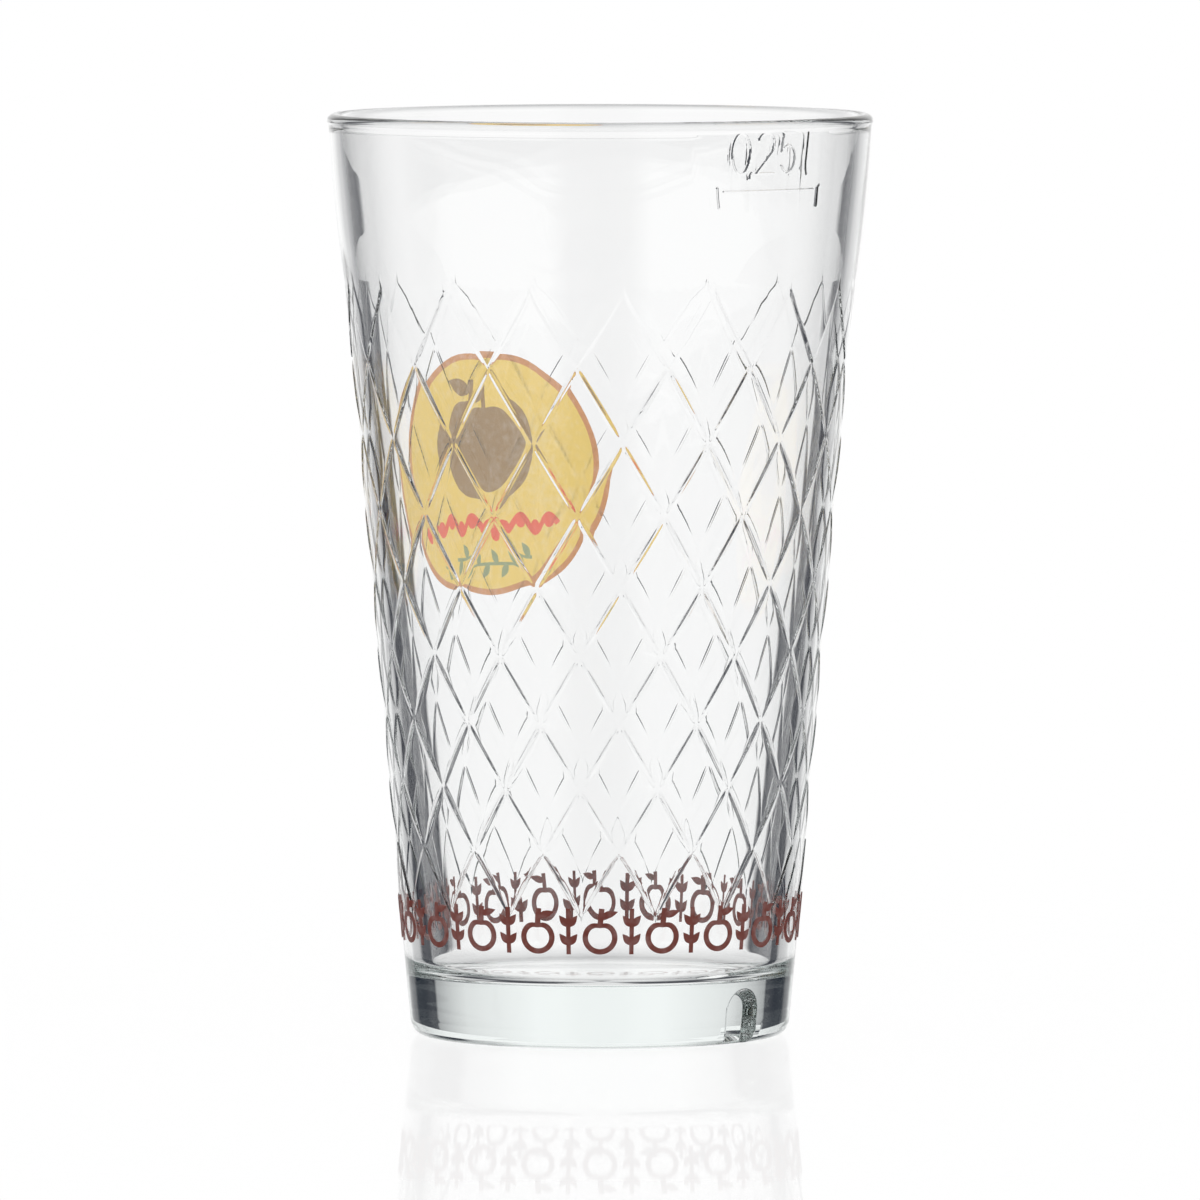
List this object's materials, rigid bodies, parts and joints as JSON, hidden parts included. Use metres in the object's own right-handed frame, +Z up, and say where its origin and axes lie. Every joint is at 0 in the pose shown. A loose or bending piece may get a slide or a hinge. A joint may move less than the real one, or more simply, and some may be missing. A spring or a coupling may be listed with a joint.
{
  "type": "ribbed apple wine tumbler",
  "caption": "Tapered pressed glass tumbler with crossing raised ribs, thick clear base, moulded fill mark, enamel label on the back and an enamel frieze around the foot.",
  "frame": {"origin": "centre of the resting face, on the glass's axis", "axes": "+Z up along the glass's axis, the fill mark at the front towards -Y and +X, the label at the back towards +Y and -X"},
  "size_m": [0.0716, 0.0714, 0.121],
  "materials": {
    "glass": "clear fire-polished pressed glass",
    "enamel_rust": "fired ceramic enamel, satin gloss",
    "enamel_ochre": "fired ceramic enamel, satin gloss",
    "enamel_sepia": "fired ceramic enamel, satin gloss, halftone print",
    "enamel_red": "fired ceramic enamel, satin gloss",
    "enamel_green": "fired ceramic enamel, satin gloss"
  },
  "bodies": {
    "root": {"glass_body": "glass", "label_border": "enamel_rust", "label_ground": "enamel_ochre", "label_apple": "enamel_sepia", "label_vine": "enamel_red", "label_twig": "enamel_green", "foot_apple_01": "enamel_rust", "foot_sprig_01": "enamel_rust", "foot_apple_02": "enamel_rust", "foot_sprig_02": "enamel_rust", "foot_apple_03": "enamel_rust", "foot_sprig_03": "enamel_rust", "foot_apple_04": "enamel_rust", "foot_sprig_04": "enamel_rust", "foot_apple_05": "enamel_rust", "foot_sprig_05": "enamel_rust", "foot_apple_06": "enamel_rust", "foot_sprig_06": "enamel_rust", "foot_apple_07": "enamel_rust", "foot_sprig_07": "enamel_rust", "foot_apple_08": "enamel_rust", "foot_sprig_08": "enamel_rust", "foot_apple_09": "enamel_rust", "foot_sprig_09": "enamel_rust", "foot_apple_10": "enamel_rust", "foot_sprig_10": "enamel_rust", "foot_apple_11": "enamel_rust", "foot_sprig_11": "enamel_rust", "foot_apple_12": "enamel_rust", "foot_sprig_12": "enamel_rust", "foot_apple_13": "enamel_rust", "foot_sprig_13": "enamel_rust", "foot_apple_14": "enamel_rust", "foot_sprig_14": "enamel_rust", "foot_apple_15": "enamel_rust", "foot_sprig_15": "enamel_rust", "foot_apple_16": "enamel_rust", "foot_sprig_16": "enamel_rust", "foot_apple_17": "enamel_rust", "foot_sprig_17": "enamel_rust", "foot_apple_18": "enamel_rust", "foot_sprig_18": "enamel_rust", "foot_apple_19": "enamel_rust", "foot_sprig_19": "enamel_rust", "foot_apple_20": "enamel_rust", "foot_sprig_20": "enamel_rust"}
  },
  "joints": []
}
